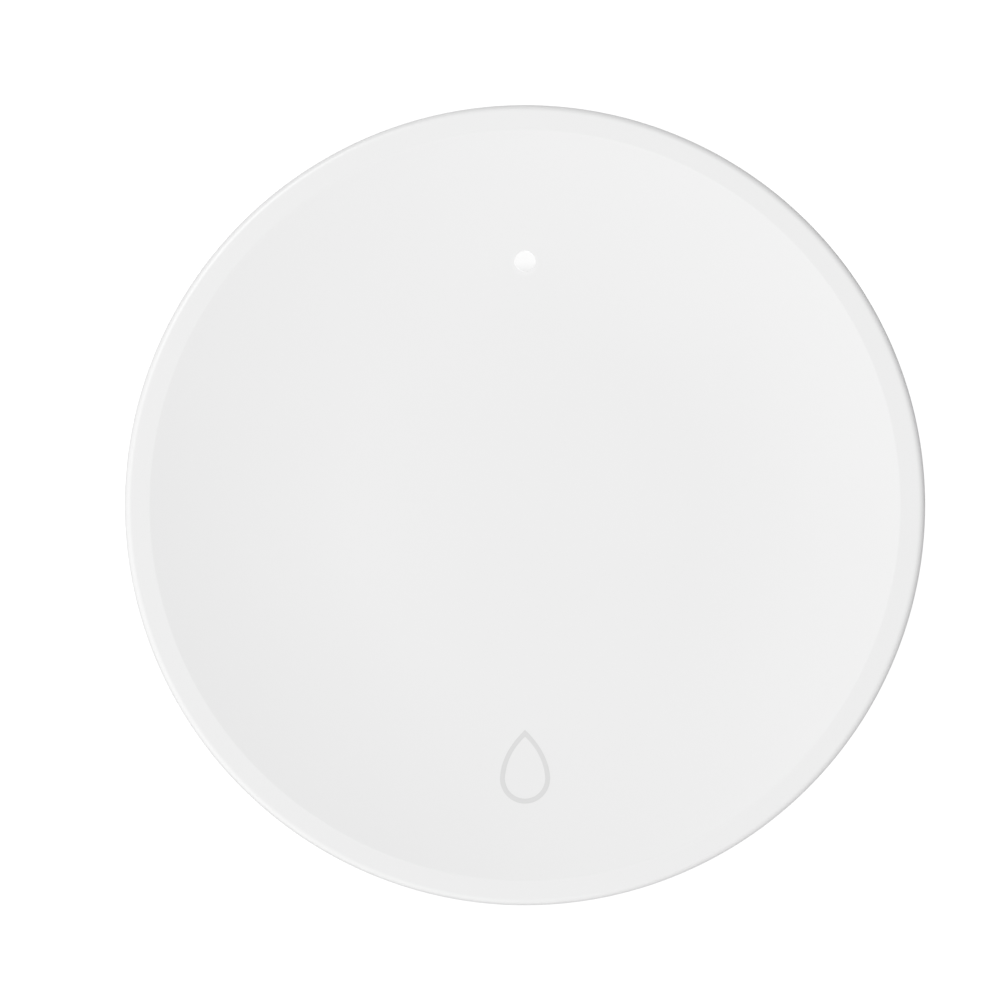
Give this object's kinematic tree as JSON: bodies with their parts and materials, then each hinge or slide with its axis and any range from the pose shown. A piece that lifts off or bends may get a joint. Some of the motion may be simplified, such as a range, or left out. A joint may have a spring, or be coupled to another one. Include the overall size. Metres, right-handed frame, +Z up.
{
  "type": "water leak sensor",
  "caption": "Round white floor sensor with a flat rim and a dished top, a small status light, probe screws and feet underneath, and a coin cell behind a screw-in door.",
  "frame": {"origin": "centre of the circle that the sensor covers, on the floor plane under its feet", "axes": "+Z up along the sensor's round axis; +Y from the centre towards the status light; +X to the right of it, seen from above"},
  "size_m": [0.07, 0.07, 0.02],
  "materials": {
    "cover_plastic": "fine satin grain, white",
    "base_plastic": "satin white",
    "door_plastic": "satin white",
    "button_plastic": "satin light grey",
    "light_plastic": "polished milky clear",
    "seal_rubber": "dull black",
    "probe_seal_rubber": "dull black",
    "foot_rubber": "dull translucent light grey",
    "screw_steel": "zinc plated",
    "probe_steel": "polished stainless",
    "pillar_brass": "machined",
    "board_laminate": "green solder mask over laminate",
    "radio_laminate": "dark green solder mask",
    "shield_metal": "tinned sheet",
    "contact_metal": "nickel-plated spring sheet",
    "cell_metal": "nickel-plated, satin",
    "gasket_plastic": "dull dark",
    "chip_plastic": "dull black",
    "crystal_metal": "plated lid",
    "reservoir_plastic": "dull amber",
    "capacitor_ceramic": "dull tan",
    "led_plastic": "clear over a pale lens",
    "switch_plastic": "black",
    "plunger_plastic": "dull brown"
  },
  "bodies": {
    "housing": {"top_cover": "cover_plastic", "light_pipe": "light_plastic", "base_shell": "base_plastic", "case_seal": "seal_rubber", "case_screws": "screw_steel", "circuit_board": "board_laminate", "board_screws": "screw_steel", "negative_contact": "contact_metal", "positive_contact": "contact_metal", "switch_body": "switch_plastic", "radio_board": "radio_laminate", "radio_shield": "shield_metal", "status_led": "led_plastic", "main_chip": "chip_plastic", "clock_crystal": "crystal_metal", "reservoir_capacitor": "reservoir_plastic", "small_capacitors": "capacitor_ceramic", "foot_1": "foot_rubber", "probe_screw_1": "probe_steel", "probe_seal_1": "probe_seal_rubber", "probe_pillar_1": "pillar_brass", "foot_2": "foot_rubber", "probe_screw_2": "probe_steel", "probe_seal_2": "probe_seal_rubber", "probe_pillar_2": "pillar_brass", "foot_3": "foot_rubber", "probe_screw_3": "probe_steel", "probe_seal_3": "probe_seal_rubber", "probe_pillar_3": "pillar_brass", "foot_4": "foot_rubber", "probe_screw_4": "probe_steel", "probe_seal_4": "probe_seal_rubber", "probe_pillar_4": "pillar_brass"},
    "battery": {"battery_can": "cell_metal", "battery_gasket": "gasket_plastic", "battery_cap": "cell_metal"},
    "door": {"battery_door": "door_plastic", "door_seal": "seal_rubber"},
    "button": {"pairing_button": "button_plastic", "button_seal": "seal_rubber"},
    "plunger": {"switch_plunger": "plunger_plastic"}
  },
  "joints": [
    {"name": "battery_drop", "type": "slide", "parent": "housing", "child": "battery", "axis": [0, 0, -1], "range_m": [0, 0.007]},
    {"name": "door_turn", "type": "hinge", "parent": "battery", "child": "door", "pos_m": [0, 0, 0.0012], "axis": [0, 0, -1], "range_deg": [0, 210]},
    {"name": "button_press", "type": "slide", "parent": "housing", "child": "button", "axis": [0, 0, 1], "range_m": [0, 0.0004], "stiffness_N_per_m": 4000},
    {"name": "switch_press", "type": "slide", "parent": "housing", "child": "plunger", "axis": [0, 0, 1], "range_m": [0, 0.0004]}
  ],
  "couplings": [
    {"joint": "battery_drop", "follows": "door_turn", "m_per_rad": 0.0019099},
    {"joint": "switch_press", "follows": "button_press", "ratio": 1}
  ]
}
